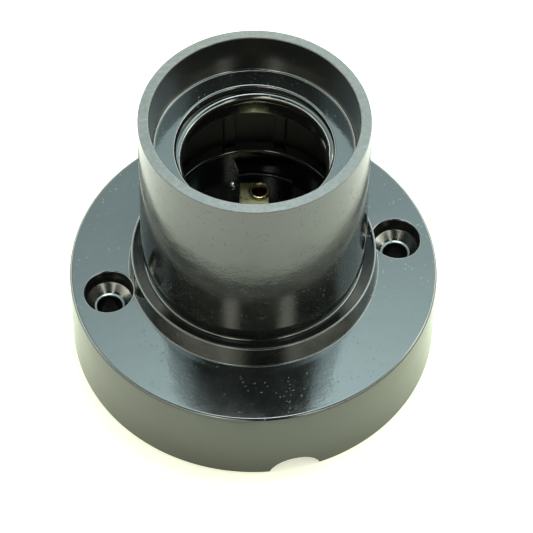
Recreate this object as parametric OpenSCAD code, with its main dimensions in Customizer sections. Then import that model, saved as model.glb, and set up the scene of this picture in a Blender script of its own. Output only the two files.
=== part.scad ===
// Surface lamp holder: a round moulded base, a moulded shell that screws onto its neck,
// two sprung brass contacts and their terminals under the contact floor.
// Millimetres, +Z up. The origin is the middle of the base's underside.

/* [Base skirt and flange] */
// Diameter of the base where it stands
base_d = 66.2; // [60:0.2:76]
// How much the skirt's radius shrinks from its foot to its top
skirt_draft = 0.05; // [0:0.05:1]
// Height of the flange's upper face at its edge
flange_z = 16.6; // [14:0.2:20]
// How much the flange rises from its edge to the collar
flange_rise = 1.5; // [1:0.1:2]
// Thickness of the flange at its edge
flange_t = 3.6; // [2.8:0.2:4.4]
// Wall of the skirt
skirt_wall = 3; // [2:0.2:4]
// Rounding of the flange's outer edge
edge_round = 0.6; // [0.2:0.1:1]

/* [Fixing holes] */
// Distance between the two fixing holes
hole_pitch = 53; // [52:0.5:54]
// Through hole for the fixing screw
hole_d = 4.4; // [4:0.1:5.2]
// Sunk mouth for the screw head
sink_d = 8.7; // [8:0.1:9.4]
// Straight part of the sunk mouth
sink_straight = 3; // [1:0.1:3.4]
// Whole depth of the sunk mouth
sink_depth = 4.4; // [4:0.1:6]
// Pillar round each fixing hole
pillar_d = 10.4; // [9.8:0.2:11]

/* [Cable notch] */
// Radius of the round cable notch in the rim
notch_r = 4.8; // [3.6:0.1:5.6]
// How far the notch's centre lies below the rim
notch_drop = 1.3; // [0.6:0.1:2]

/* [Collar and neck] */
// Collar diameter at its foot
collar_foot_d = 44.6; // [44:0.2:45]
// Collar diameter at its top
collar_top_d = 43.7; // [43:0.1:44.2]
// Height of the collar's lip above the flange's edge
collar_h = 5.9; // [5:0.1:6.6]
// How much the collar's top falls from its lip to the shoulder
collar_drop = 1.1; // [0.4:0.1:1.6]
// Rounding where the collar meets the flange
collar_foot_round = 0.5; // [0.3:0.1:0.9]
// Rounding of the collar's lip
lip_round = 0.3; // [0.1:0.05:0.4]
// Shoulder that carries the shell, above the flange's edge
shoulder_h = 8.7; // [7:0.1:10]
// Diameter of that shoulder
shoulder_d = 38.7; // [38:0.1:39.2]
// Length of the neck above the shoulder
neck_h = 6.3; // [5:0.1:8]
// Wall of the neck
neck_wall = 2.45; // [2:0.05:3]
// Gap between the neck and the shell's bore
neck_gap = 0.35; // [0.3:0.01:0.5]
// Rounding of the neck's mouth
neck_round = 0.5; // [0.2:0.1:0.8]

/* [Shell] */
// Height of the shell from its foot to its rim
shell_h = 33.8; // [32:0.1:36]
// Shell diameter at its foot
shell_foot_d = 40.1; // [39.8:0.1:40.2]
// Shell diameter at its rim
shell_rim_d = 39.4; // [39.2:0.1:39.7]
// Wall of the shell at its foot
shell_wall = 2.25; // [2:0.05:2.5]
// Wall of the shell at its rim
rim_wall = 1.85; // [1.5:0.05:2.1]
// Depth of the well from the rim to the ledge
well_depth = 7.8; // [7:0.1:9]
// Wall of the well at the ledge
well_foot_wall = 2.45; // [2.3:0.05:2.6]
// Thickness of the ledge
ledge_t = 2.5; // [2:0.1:3]
// Rounding of the shell's edges
shell_round = 0.3; // [0.1:0.05:0.5]

/* [Lamp thread] */
// Diameter of the opening in the ledge
opening_d = 27.4; // [27.2:0.05:27.6]
// Diameter at the bottom of the thread's grooves
thread_major_d = 26.75; // [26.5:0.05:27]
// Height of the thread's rounded crests
crest_h = 1.05; // [0.8:0.05:1.1]
// Pitch of the lamp thread
thread_pitch = 3.629; // [3.6:0.001:3.65]
// Turns of thread that the ring carries
thread_turns = 1.15; // [1:0.05:1.15]
// Where the thread starts, against the line of the fixing holes
thread_start = 25; // [0:5:355]
// Length of the threaded ring below the ledge's face
ring_len = 7.2; // [6.6:0.1:8]
// Outer diameter of the threaded ring
ring_d = 30.4; // [30:0.2:31]

/* [Ribs inside the shell] */
// Number of ribs
rib_count = 12; // [6:1:16]
// Width of a rib
rib_w = 2.1; // [1.5:0.1:3]
// How far a rib stands in from the wall
rib_h = 0.7; // [0.4:0.1:1]

/* [Contact floor] */
// Turn of the contacts against the line of the fixing holes
contact_turn = -13.6; // [-20:0.2:0]
// Height of the contact floor below the neck's mouth
floor_drop = 4.3; // [3.6:0.1:5]
// Depth of the contact pockets in that floor
pocket_depth = 2.4; // [2:0.1:2.8]
// Thickness of the floor under the pockets
floor_t = 4.6; // [4:0.1:5.5]
// Gap between the terminal plates and the wall of the cavity under the floor
under_gap = 0.6; // [0.4:0.1:1]
// Height of the rib that parts the two terminals
barrier_h = 5; // [3:0.5:6]
// Thickness of that rib
barrier_t = 1.6; // [1.2:0.1:2.4]

/* [Contacts] */
// Thickness of the brass strip
leaf_t = 0.5; // [0.4:0.05:0.6]
// Width of the brass strip
leaf_w = 5.2; // [4.8:0.1:5.6]
// Distance of each contact's rivet from the axis of the holder
rivet_y = 9.8; // [9.6:0.1:10]
// Distance of each rivet from the middle of its strip
rivet_x = 0.9; // [0.6:0.1:1]
// Running gap above and below the riveted end of a strip
leaf_gap = 0.2; // [0.18:0.01:0.25]
// Height of the centre contact's crown above its riveted end
crown_h = 2.7; // [2:0.1:3]
// Height of the side contact above its riveted end
side_h = 14.5; // [12:0.5:15]
// Distance of the side contact's wiping face from the axis
side_reach = 12.75; // [12.6:0.05:12.9]
// Width of the pocket to the right of the centre contact
pocket_right = 6.8; // [6:0.1:7]

/* [Rivets, pins and terminals] */
// Shank diameter of the tubular rivets
rivet_d = 2.7; // [2.4:0.1:2.8]
// Hole down the tubular rivets
rivet_bore_d = 2; // [1.6:0.1:2.1]
// Rolled head of the tubular rivets
rivet_head_d = 3.2; // [3:0.1:3.3]
// Thickness of the rolled head
rivet_head_t = 0.5; // [0.4:0.05:0.6]
// Radial clearance of shanks in their holes
shank_gap = 0.05; // [0.03:0.01:0.08]
// Diameter of the locating pins
pin_d = 1.8; // [1.6:0.1:2]
// Thickness of the terminal plates
plate_t = 0.8; // [0.6:0.1:1]
// Metal left outside the pin's hole in the terminal plates
plate_margin = 1.5; // [1.2:0.1:1.8]
// Terminal screw diameter
screw_d = 3.4; // [3:0.1:3.6]
// Terminal screw head diameter
screw_head_d = 5.6; // [5:0.1:6]
// Terminal screw head height
screw_head_h = 1.9; // [1.5:0.1:2.2]
// Length of the terminal screw under its head
screw_len = 5; // [4:0.2:5.6]
// Side of the square clamp washer
washer_w = 6.2; // [5.8:0.1:6.6]
// Thickness of the clamp washer
washer_t = 1; // [0.8:0.1:1.2]

/* [Hidden] */

black = [0.09, 0.1, 0.1];
brass = [0.72, 0.62, 0.32];
steel = [0.75, 0.76, 0.78];

// A cutter runs this far past the face that it opens
over = 1;
// Facets of a full circle
round_fn = 96;
// Steps in a rounded edge of a turned outline
arc_steps = 4;
// Steps in one turn of the lamp thread
thread_steps = 40;
// Share of the pitch that a crest takes at its root
crest_share = 0.6;
// How deep a crest is rooted in the ring
crest_root = 0.6;

base_r = base_d / 2;
skirt_top_r = base_r - skirt_draft;
cavity_r = base_r - skirt_wall;
flange_under_z = flange_z - flange_t;
collar_z = flange_z + collar_h;
// Slopes of the flange, of the collar's outer face and of its top
flange_slope = atan2(flange_rise, skirt_top_r - collar_foot_d / 2);
collar_lean = atan2(collar_foot_d - collar_top_d, 2 * (collar_h - flange_rise));
collar_fall = atan2(collar_drop, (collar_top_d - shoulder_d) / 2);
shoulder_z = flange_z + shoulder_h;
neck_top_z = shoulder_z + neck_h;
shell_bore_r = shell_foot_d / 2 - shell_wall;
neck_r = shell_bore_r - neck_gap;
neck_bore_r = neck_r - neck_wall;
shell_top_z = shoulder_z + shell_h;
ledge_z = shell_top_z - well_depth;
ring_bottom_z = ledge_z - ring_len;
rib_low_z = neck_top_z + over;

floor_z = neck_top_z - floor_drop;
pocket_z = floor_z - pocket_depth;
floor_under_z = pocket_z - floor_t;
pad_z = pocket_z + leaf_t;
leaf_low = pad_z + leaf_gap;
leaf_mid = leaf_low + leaf_t / 2;
rivet_head_z = leaf_low + leaf_t + leaf_gap;
plate_low = floor_under_z - plate_t;
pad_r = rivet_d / 2 + leaf_t;
leaf_left = -leaf_w / 2;
leaf_right = leaf_w / 2;
// Clear space kept beside a strip in its pocket
pocket_gap = 0.3;
// Length of strip behind the rivet
leaf_tail = 2.1;
// Where the centre strip leaves its seat and starts to rise
leaf_bend_y = rivet_y - 3;
// How far the centre strip reaches past the axis
leaf_nose = 2.2;
// Width of the centre strip where it crosses the axis
nose_w = 4;

pin_x = leaf_left - pocket_gap - pin_d / 2 - 0.15;
pin_y = rivet_y + 0.7;
screw_x = -6.6;
screw_y = 6.2;
plate_left = screw_x - screw_d;
plate_right = rivet_x + rivet_head_d / 2 + plate_t;
plate_in = screw_y - screw_d;
plate_r = norm([pin_x, pin_y]) + pin_d / 2 + plate_margin;
under_r = plate_r + under_gap;
washer_z = plate_low - washer_t;
screw_head_z = washer_z - screw_head_h;
screw_top_z = washer_z + screw_len;

// Height of the flange's upper face at the radius r
function flange_at(r) = flange_z + (skirt_top_r - r) * tan(flange_slope);

// Points of an arc about c, of radius r, from angle a0 to angle a1
function arc_points(c, r, a0, a1) =
    [for (i = [0:arc_steps])
        let (a = a0 + (a1 - a0) * i / arc_steps) c + r * [cos(a), sin(a)]];

// A strip of thickness t above the points of path, given as [y, z]
function strip_points(path, t) =
    concat(path, [for (i = [len(path) - 1:-1:0])
        let (
            a = path[max(i - 1, 0)],
            b = path[min(i + 1, len(path) - 1)],
            d = (b - a) / norm(b - a)
        ) path[i] + t * [-d[1], d[0]]]);

module turned(points) {
    rotate_extrude($fn = round_fn) polygon(points);
}

module rod(r, z0, z1) {
    translate([0, 0, z0]) cylinder(r = r, h = z1 - z0, $fn = round_fn);
}

// What belongs to the second contact is what belongs to the first, turned half round
module second() {
    rotate(180) children();
}

// Outline of the strip set across x and standing in the y-z plane
module bent_strip(path, width, left) {
    translate([left, 0, 0]) rotate([90, 0, 90])
        linear_extrude(width) polygon(strip_points(path, leaf_t));
}

module base_outline() {
    edge_r = skirt_top_r - edge_round;
    foot_r = collar_foot_d / 2 + collar_foot_round;
    turned(concat(
        [[0, 0], [base_r, 0]],
        arc_points([edge_r, flange_at(edge_r) - edge_round / cos(flange_slope)],
            edge_round, 0, 90 - flange_slope),
        arc_points([foot_r, flange_at(foot_r) + collar_foot_round / cos(flange_slope)],
            collar_foot_round, 270 - flange_slope, 180 + collar_lean),
        arc_points([collar_top_d / 2 - lip_round, collar_z - lip_round],
            lip_round, collar_lean, 90 + collar_fall),
        [[shoulder_d / 2, collar_z - collar_drop], [shoulder_d / 2, shoulder_z], [neck_r, shoulder_z]],
        arc_points([neck_r - neck_round, neck_top_z - neck_round], neck_round, 0, 90),
        arc_points([neck_bore_r + neck_round, neck_top_z - neck_round], neck_round, 90, 180),
        [[neck_bore_r, floor_z], [0, floor_z]]
    ));
}

module pillar() {
    translate([hole_pitch / 2, 0, 0]) rod(pillar_d / 2, 0, flange_z - edge_round);
}

module fixing_hole() {
    mouth_z = flange_at(hole_pitch / 2);
    translate([hole_pitch / 2, 0, 0]) {
        rod(hole_d / 2, -over, mouth_z);
        rod(sink_d / 2, mouth_z - sink_straight, collar_z + over);
        translate([0, 0, mouth_z - sink_depth])
            cylinder(r1 = hole_d / 2, r2 = sink_d / 2, h = sink_depth - sink_straight, $fn = round_fn);
    }
}

// A pocket in the contact floor, from x0 to x1 and from y0 out to the neck's bore
module pocket(x0, x1, y0) {
    intersection() {
        rod(neck_bore_r, pocket_z, floor_z + over);
        translate([x0, y0, pocket_z]) cube([x1 - x0, neck_bore_r - y0, floor_z - pocket_z + over]);
    }
}

module seat_pad() {
    translate([rivet_x, rivet_y, 0]) rod(pad_r, pocket_z, pad_z);
}

// Holes that a contact's rivet, pin and terminal screw need in the floor
module floor_holes() {
    translate([rivet_x, rivet_y, 0]) rod(rivet_d / 2 + shank_gap, floor_under_z - over, pad_z + over);
    translate([pin_x, pin_y, 0]) rod(pin_d / 2 + shank_gap, floor_under_z - over, floor_z + over);
    translate([screw_x, screw_y, 0])
        rod(screw_d / 2 + pocket_gap, floor_under_z - over, screw_top_z + pocket_gap);
}

module barrier() {
    rotate(contact_turn) intersection() {
        rod(under_r + over, floor_under_z - barrier_h, floor_under_z + over);
        translate([-neck_r, -barrier_t / 2, 0]) cube([2 * neck_r, barrier_t, floor_z]);
    }
}

module base() {
    color(black) difference() {
        union() {
            difference() {
                base_outline();
                rod(cavity_r, -over, flange_under_z);
                rod(under_r, -over, floor_under_z);
                rotate(contact_turn) {
                    pocket(leaf_left - pocket_gap, pocket_right, -leaf_nose - over);
                    second() pocket(leaf_left - pocket_gap, leaf_right + pocket_gap,
                        rivet_y - leaf_w / 2 - pocket_gap);
                }
            }
            pillar();
            mirror([1, 0, 0]) pillar();
            barrier();
            rotate(contact_turn) {
                seat_pad();
                second() seat_pad();
            }
        }
        fixing_hole();
        mirror([1, 0, 0]) fixing_hole();
        rotate(contact_turn) {
            floor_holes();
            second() floor_holes();
        }
        translate([0, -cavity_r + over, -notch_drop]) rotate([90, 0, 0])
            cylinder(r = notch_r, h = skirt_wall + 2 * over, $fn = round_fn);
    }
}

module shell_outline() {
    rim_r = shell_rim_d / 2;
    foot_r = shell_foot_d / 2;
    well_foot_r = shell_rim_d / 2 - well_foot_wall;
    turned(concat(
        [[shell_bore_r, shoulder_z], [foot_r - shell_round, shoulder_z], [foot_r, shoulder_z + shell_round]],
        arc_points([rim_r - shell_round, shell_top_z - shell_round], shell_round, 0, 90),
        arc_points([rim_r - rim_wall + shell_round, shell_top_z - shell_round], shell_round, 90, 180),
        [[well_foot_r, ledge_z + shell_round], [well_foot_r - shell_round, ledge_z]],
        arc_points([opening_d / 2 + shell_round, ledge_z - shell_round], shell_round, 90, 180),
        [[thread_major_d / 2, ledge_z - 2 * shell_round],
         [thread_major_d / 2, ring_bottom_z + shell_round],
         [thread_major_d / 2 + shell_round, ring_bottom_z], [ring_d / 2, ring_bottom_z],
         [ring_d / 2, ledge_z - ledge_t], [shell_bore_r, ledge_z - ledge_t]]
    ));
}

module rib() {
    translate([shell_bore_r - rib_h, -rib_w / 2, rib_low_z])
        cube([rib_h + shell_wall / 2, rib_w, ledge_z - ledge_t / 2 - rib_low_z]);
}

// One rounded crest of the lamp thread as points [r, z] about the helix, rooted in the ring
function crest_profile() =
    let (groove_r = thread_major_d / 2, half = thread_pitch * crest_share / 2)
    concat(
        [[groove_r + crest_root, -half]],
        [for (i = [-3:3]) let (a = i * 24)
            [groove_r - crest_h * cos(a), half * sin(a)]],
        [[groove_r + crest_root, half]]
    );

module lamp_thread() {
    section = crest_profile();
    n = len(section);
    steps = round(thread_turns * thread_steps);
    start_z = (ledge_z + ring_bottom_z - thread_turns * thread_pitch) / 2;
    points = [for (i = [0:steps], p = section)
        let (a = 360 * i / thread_steps, z = start_z + thread_pitch * i / thread_steps)
            [p[0] * cos(a), p[0] * sin(a), z + p[1]]];
    sides = [for (i = [0:steps - 1], j = [0:n - 1], half = [0, 1])
        let (k = (j + 1) % n, low = i * n, high = low + n)
            half == 0 ? [low + j, high + k, low + k] : [low + j, high + j, high + k]];
    ends = [[for (j = [0:n - 1]) j], [for (j = [n - 1:-1:0]) steps * n + j]];
    polyhedron(points, concat(sides, ends));
}

module shell() {
    color(black) union() {
        shell_outline();
        for (i = [0:rib_count - 1]) rotate(360 * (i + 0.5) / rib_count + contact_turn) rib();
        rotate(thread_start) lamp_thread();
    }
}

module strip_hole() {
    translate([rivet_x, rivet_y, 0]) rod(rivet_d / 2 + 2 * shank_gap, pocket_z, rivet_head_z + over);
}

// The centre contact: riveted at the back, rising to a crown over the axis
module centre_contact() {
    rise = [
        [rivet_y + leaf_tail, leaf_low], [leaf_bend_y, leaf_low], [leaf_bend_y - 1, leaf_low + 0.2],
        [1.6, leaf_low + crown_h - 0.3], [0, leaf_low + crown_h],
        [-1.2, leaf_low + crown_h - 0.2], [-leaf_nose, leaf_low + crown_h - 0.9]
    ];
    path = [for (i = [len(rise) - 1:-1:0]) rise[i]];
    shoulder_cut = (leaf_w - nose_w) / 2;
    color(brass) rotate(contact_turn) difference() {
        bent_strip(path, leaf_w, leaf_left);
        strip_hole();
        for (side = [-1, 1])
            translate([side * (leaf_w - shoulder_cut) / 2 - shoulder_cut / 2 - (side < 0 ? over : 0),
                    -leaf_nose - over, pocket_z])
                cube([shoulder_cut + over, leaf_bend_y - over + leaf_nose, floor_z]);
    }
}

// The side contact: riveted in its pocket and bent up to wipe the side of the lamp's cap
module side_contact() {
    foot_y = side_reach + 0.5;
    path = [
        [rivet_y - 2.4, leaf_low], [foot_y - 0.9, leaf_low], [foot_y - 0.25, leaf_low + 0.25],
        [foot_y, leaf_low + 0.9], [foot_y, leaf_low + side_h * 0.55],
        [side_reach - leaf_t * 0.2, leaf_low + side_h * 0.8], [side_reach + 0.7, leaf_low + side_h]
    ];
    color(brass) rotate(contact_turn) second() difference() {
        bent_strip(path, leaf_w, leaf_left);
        strip_hole();
    }
}

module tubular_rivet() {
    translate([rivet_x, rivet_y, 0]) difference() {
        union() {
            rod(rivet_d / 2, plate_low - rivet_head_t / 2, rivet_head_z + rivet_head_t / 2);
            translate([0, 0, rivet_head_z]) turned(concat(
                [[rivet_bore_d / 2, 0], [rivet_head_d / 2, 0]],
                arc_points([rivet_head_d / 2 - rivet_head_t, 0], rivet_head_t, 0, 90),
                [[rivet_bore_d / 2, rivet_head_t]]
            ));
            rod(rivet_head_d / 2 + leaf_t, plate_low - rivet_head_t, plate_low);
        }
        rod(rivet_bore_d / 2, plate_low - over, rivet_head_z + over);
    }
}

module centre_rivet() {
    color(brass) rotate(contact_turn) tubular_rivet();
}

module side_rivet() {
    color(brass) rotate(contact_turn) second() tubular_rivet();
}

// A steel pin that keeps the terminal plate from turning; its domed end shows above the floor
module locating_pin() {
    translate([pin_x, pin_y, 0]) {
        rod(pin_d / 2, plate_low, floor_z);
        translate([0, 0, floor_z]) intersection() {
            sphere(d = pin_d, $fn = round_fn);
            rod(pin_d, 0, pin_d);
        }
    }
}

module line_pin() {
    color(steel) rotate(contact_turn) locating_pin();
}

module neutral_pin() {
    color(steel) rotate(contact_turn) second() locating_pin();
}

module plate_hole(x, y, d) {
    translate([x, y, 0]) rod(d / 2 + shank_gap, plate_low - over, floor_under_z + over);
}

module terminal_plate() {
    difference() {
        intersection() {
            rod(plate_r, plate_low, floor_under_z);
            translate([plate_left, plate_in, plate_low])
                cube([plate_right - plate_left, plate_r, plate_t]);
        }
        plate_hole(rivet_x, rivet_y, rivet_d);
        plate_hole(pin_x, pin_y, pin_d);
        plate_hole(screw_x, screw_y, screw_d);
    }
}

module line_terminal() {
    color(brass) rotate(contact_turn) terminal_plate();
}

module neutral_terminal() {
    color(brass) rotate(contact_turn) second() terminal_plate();
}

// A square washer with two turned-down lips that hold the wire under the screw
module clamp_washer() {
    translate([screw_x, screw_y, 0]) difference() {
        translate([-washer_w / 2, -washer_w / 2, washer_z]) cube([washer_w, washer_w, washer_t]);
        rod(screw_d / 2 + 2 * shank_gap, washer_z - over, plate_low + over);
        for (side = [-1, 1])
            translate([side * washer_w / 4, 0, plate_low]) rotate([90, 0, 0])
                cylinder(d = washer_t, h = 2 * washer_w, center = true, $fn = round_fn);
    }
}

module line_clamp() {
    color(steel) rotate(contact_turn) clamp_washer();
}

module neutral_clamp() {
    color(steel) rotate(contact_turn) second() clamp_washer();
}

module terminal_screw() {
    slot_w = screw_d * 0.25;
    translate([screw_x, screw_y, 0]) difference() {
        union() {
            rod(screw_d / 2, screw_head_z + screw_head_h / 2, screw_top_z);
            translate([0, 0, screw_head_z]) turned(concat(
                [[0, 0]],
                arc_points([screw_head_d / 2 - edge_round, edge_round], edge_round, 270, 360),
                [[screw_head_d / 2, screw_head_h], [0, screw_head_h]]
            ));
        }
        translate([-screw_head_d, -slot_w / 2, screw_head_z - over])
            cube([2 * screw_head_d, slot_w, screw_head_h / 2 + over]);
    }
}

module line_screw() {
    color(steel) rotate(contact_turn) terminal_screw();
}

module neutral_screw() {
    color(steel) rotate(contact_turn) second() terminal_screw();
}

base();
shell();
centre_contact();
side_contact();
centre_rivet();
side_rivet();
line_pin();
neutral_pin();
line_terminal();
neutral_terminal();
line_clamp();
neutral_clamp();
line_screw();
neutral_screw();
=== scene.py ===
# %% [markdown]
# # A surface lamp holder
#
# A lamp holder for a screw-in lamp, moulded in glossy black thermoset. A round base stands on the wall or ceiling,
# and a tubular shell screws onto its neck. Inside are two sprung brass contacts. This script builds the look of
# each piece round a fixed frame: the construction model, which already has every size and every joint.

# %% Load the frame
import math

import bmesh
import bpy
from mathutils import Matrix, Vector


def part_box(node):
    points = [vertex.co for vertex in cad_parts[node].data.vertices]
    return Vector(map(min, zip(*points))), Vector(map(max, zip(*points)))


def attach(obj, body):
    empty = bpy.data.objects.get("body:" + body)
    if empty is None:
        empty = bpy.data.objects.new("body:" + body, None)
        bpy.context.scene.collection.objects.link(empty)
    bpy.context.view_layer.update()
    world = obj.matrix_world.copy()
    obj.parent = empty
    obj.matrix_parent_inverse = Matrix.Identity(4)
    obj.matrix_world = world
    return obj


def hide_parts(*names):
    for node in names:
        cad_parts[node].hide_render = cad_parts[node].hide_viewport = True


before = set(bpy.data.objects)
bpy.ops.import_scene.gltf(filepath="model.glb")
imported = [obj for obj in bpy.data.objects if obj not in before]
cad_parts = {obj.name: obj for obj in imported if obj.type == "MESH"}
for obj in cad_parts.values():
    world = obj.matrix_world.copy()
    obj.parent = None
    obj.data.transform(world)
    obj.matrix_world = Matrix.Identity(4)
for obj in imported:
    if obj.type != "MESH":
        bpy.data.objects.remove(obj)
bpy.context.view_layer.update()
MM = 0.001

# %% [markdown]
# ## Sizes
#
# The frame gives the place of every piece, so the sizes that the pieces share are read from it. The rest are the
# moulding's own sections, in millimetres, such as the wall of the shell or the depth of the well. Each one is named
# once here, and every outline below is worked out from these names.

# %% Sizes of the mouldings
base_low, base_high = [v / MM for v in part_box("base")]
shell_low, shell_high = [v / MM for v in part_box("shell")]

base_r = base_high.x
neck_top = base_high.z
shell_foot_r = shell_high.x
shoulder_z = shell_low.z
rim_z = shell_high.z

skirt_draft = 0.05
skirt_wall = 3.0
flange_z = 16.85
flange_rise = 1.0
flange_t = 3.6
edge_round = 0.6
collar_foot_r = 22.3
collar_foot_round = 0.3
collar_lip_r = 21.85
collar_z = 22.5
collar_drop = 1.1
shoulder_r = 19.35
flange_slope = flange_rise / (base_r - skirt_draft - collar_foot_r)

shell_wall = 2.25
shell_rim_r = 19.8
rim_slope = 0.15
rim_wall = 1.85
ledge_z = rim_z - 7.8
ledge_t = 2.5
well_foot_r = shell_rim_r - 2.45
opening_r = 13.7
groove_r = 13.375
ring_r = 15.2
ring_z = ledge_z - 7.2
shell_bore_r = shell_foot_r - shell_wall
neck_r = shell_bore_r - 0.35
neck_bore_r = neck_r - 2.45
print(f"base {2 * base_r:.1f} mm wide, shell {2 * shell_foot_r:.1f} mm wide, {rim_z:.1f} mm high in all")

# %% Sizes of the contact floor
contact_turn = math.radians(-13.6)
opposite_turn = contact_turn + math.pi
floor_z = neck_top - 4.3
pocket_z = floor_z - 2.4
under_z = pocket_z - 4.6
under_r = 14.2
leaf_t = 0.5
leaf_w = 5.2
leaf_low = pocket_z + 0.7
rivet_x, rivet_y = 0.9, 9.8
rivet_r = 1.35
rivet_bore_r = 1.0
plate_t = 0.8
plate_low = under_z - plate_t
pin_r = 0.9
pin_x = -leaf_w / 2 - 0.3 - pin_r - 0.15
pin_y = rivet_y + 0.7
screw_x, screw_y = -6.6, 6.2
screw_r = 1.7
hole_x = 26.5
hole_r = 2.2
sink_r = 4.35
sink_straight = 3.0
sink_depth = 4.4
print(f"contact floor at {floor_z:.1f} mm, pockets at {pocket_z:.1f} mm")

# %% [markdown]
# ## Camera
#
# The camera goes in first, because everything else is judged through it. It looks down at 54 degrees on the front of
# the holder, from about half a metre away and through a long lens, so the circles stay nearly parallel. The holder's
# fixing holes lie on the X axis, so the camera stands a little to the left of the middle.

# %% Camera
camera_reach = 305.3
camera_height = 436.35
camera_shift = -0.1
camera_turn = math.radians(13.5)
camera_pitch = math.radians(53.948)
camera_yaw = math.radians(0.459)
camera_roll = math.radians(0.853)
focal_px = 2882.0
picture_px = 533
sensor_mm = 36.0

camera_data = bpy.data.cameras.new("camera")
camera_data.sensor_width = sensor_mm
camera_data.lens = sensor_mm * focal_px / picture_px
camera_data.clip_start = 0.01
camera = bpy.data.objects.new("camera", camera_data)
turn_back = Matrix.Rotation(-camera_turn, 4, "Z")
camera.matrix_world = (
    turn_back
    @ Matrix.Translation(Vector((camera_shift, -camera_reach, camera_height)) * MM)
    @ Matrix.Rotation(-camera_yaw, 4, "Z")
    @ Matrix.Rotation(math.pi / 2 - camera_pitch, 4, "X")
    @ Matrix.Rotation(camera_roll, 4, "Z")
)
bpy.context.scene.collection.objects.link(camera)
bpy.context.scene.camera = camera
print(f"lens {camera_data.lens:.0f} mm")

# %% [markdown]
# ## Outlines and turned shapes
#
# Both mouldings come out of round moulds, so both are turned shapes: one outline in the plane of radius and height,
# swept once round the axis. A mould has no perfectly sharp edge, and on gloss black the edge roundings are what the
# eye sees. So an outline is a list of corners with a radius each, and a helper puts the arcs in.

# %% Helpers for outlines
ROUND_STEPS = 7


def rounded(corners):
    """Points of a closed outline, from corners (r, z) or (r, z, rounding) in millimetres."""
    points = []
    count = len(corners)
    for i, corner in enumerate(corners):
        here = Vector(corner[:2])
        if len(corner) < 3:
            points.append(here)
            continue
        before = (Vector(corners[i - 1][:2]) - here).normalized()
        after = (Vector(corners[(i + 1) % count][:2]) - here).normalized()
        half = before.angle(after) / 2
        reach = corner[2] / math.tan(half)
        middle = here + (before + after).normalized() * (corner[2] / math.sin(half))
        start = here + before * reach - middle
        swing = start.angle_signed(here + after * reach - middle)
        for k in range(ROUND_STEPS + 1):
            points.append(middle + Matrix.Rotation(-swing * k / ROUND_STEPS, 2) @ start)
    return points


def new_object(name, mesh):
    made = bpy.data.objects.new(name, mesh)
    bpy.context.scene.collection.objects.link(made)
    return made


def smooth(mesh, angle=35):
    """Smooth shading that stops at edges sharper than the angle, in degrees."""
    mesh.polygons.foreach_set("use_smooth", [True] * len(mesh.polygons))
    mesh.set_sharp_from_angle(angle=math.radians(angle))
    mesh.update()


def turned(name, outline, segments=192, at=(0, 0)):
    """A closed outline [(r, z)] swept once round an upright axis through at."""
    rings, faces, points = [], [], []
    for r, z in outline:
        if r < 1e-6:
            points.append((0, 0, z))
            rings.append([len(points) - 1] * segments)
            continue
        first = len(points)
        for k in range(segments):
            a = 2 * math.pi * k / segments
            points.append((r * math.cos(a), r * math.sin(a), z))
        rings.append(list(range(first, first + segments)))
    for i, ring in enumerate(rings):
        above = rings[(i + 1) % len(rings)]
        for k in range(segments):
            n = (k + 1) % segments
            corner = [ring[k], ring[n], above[n], above[k]]
            face = list(dict.fromkeys(corner))
            if len(face) > 2:
                faces.append(face)
    mesh = bpy.data.meshes.new(name)
    mesh.from_pydata([((x + at[0]) * MM, (y + at[1]) * MM, z * MM) for x, y, z in points], [], faces)
    face_outwards(mesh)
    return new_object(name, mesh)


def face_outwards(mesh):
    work = bmesh.new()
    work.from_mesh(mesh)
    bmesh.ops.remove_doubles(work, verts=work.verts, dist=1e-8)
    bmesh.ops.recalc_face_normals(work, faces=work.faces)
    work.to_mesh(mesh)
    work.free()


def block(name, low, high, turn=0.0):
    """A box between two corners in millimetres, turned about the holder's axis."""
    work = bmesh.new()
    bmesh.ops.create_cube(work, size=1)
    for v in work.verts:
        for k in range(3):
            v.co[k] = (low[k] if v.co[k] < 0 else high[k]) * MM
    bmesh.ops.rotate(work, verts=work.verts, matrix=Matrix.Rotation(turn, 3, "Z"))
    mesh = bpy.data.meshes.new(name)
    work.to_mesh(mesh)
    work.free()
    return new_object(name, mesh)


def turn_mesh(obj, angle):
    obj.data.transform(Matrix.Rotation(angle, 4, "Z"))
    return obj


# %% Helpers for joining and cutting


def settle(obj):
    """Turn an object's live modifiers into plain mesh."""
    graph = bpy.context.evaluated_depsgraph_get()
    mesh = bpy.data.meshes.new_from_object(obj.evaluated_get(graph))
    old = obj.data
    obj.modifiers.clear()
    obj.data = mesh
    mesh.name = obj.name
    bpy.data.meshes.remove(old)
    return obj


def combine(obj, tools, operation):
    """Join the tools to an object, or cut them from it, and delete them."""
    group = bpy.data.collections.new("tools")
    for tool in tools:
        bpy.context.scene.collection.objects.unlink(tool)
        group.objects.link(tool)
    modifier = obj.modifiers.new(operation, "BOOLEAN")
    modifier.operation = operation
    modifier.operand_type = "COLLECTION"
    modifier.collection = group
    modifier.solver = "EXACT"
    settle(obj)
    for tool in tools:
        bpy.data.objects.remove(tool)
    bpy.data.collections.remove(group)
    return obj


def true_normals(obj, angle=35):
    """Smooth shading weighted by face area, so that flat faces stay flat next to roundings."""
    smooth(obj.data, angle)
    modifier = obj.modifiers.new("normals", "WEIGHTED_NORMAL")
    modifier.keep_sharp = True
    modifier.weight = 100
    return settle(obj)


def soften(obj, width, segments=2, angle=40):
    modifier = obj.modifiers.new("edges", "BEVEL")
    modifier.width = width * MM
    modifier.segments = segments
    modifier.limit_method = "ANGLE"
    modifier.angle_limit = math.radians(angle)
    return settle(obj)


# %% [markdown]
# ## The base
#
# The base is one moulding: a skirt that stands on the wall, a flange that rises gently to a low collar, the shoulder
# that carries the shell, and the hollow neck. The collar's top falls inwards, so its lip catches the light as a thin
# line. One outline gives all of that. Pillars, pockets, holes and the cable notch aren't round about the axis, so
# they are joined on and cut out after.

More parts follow.
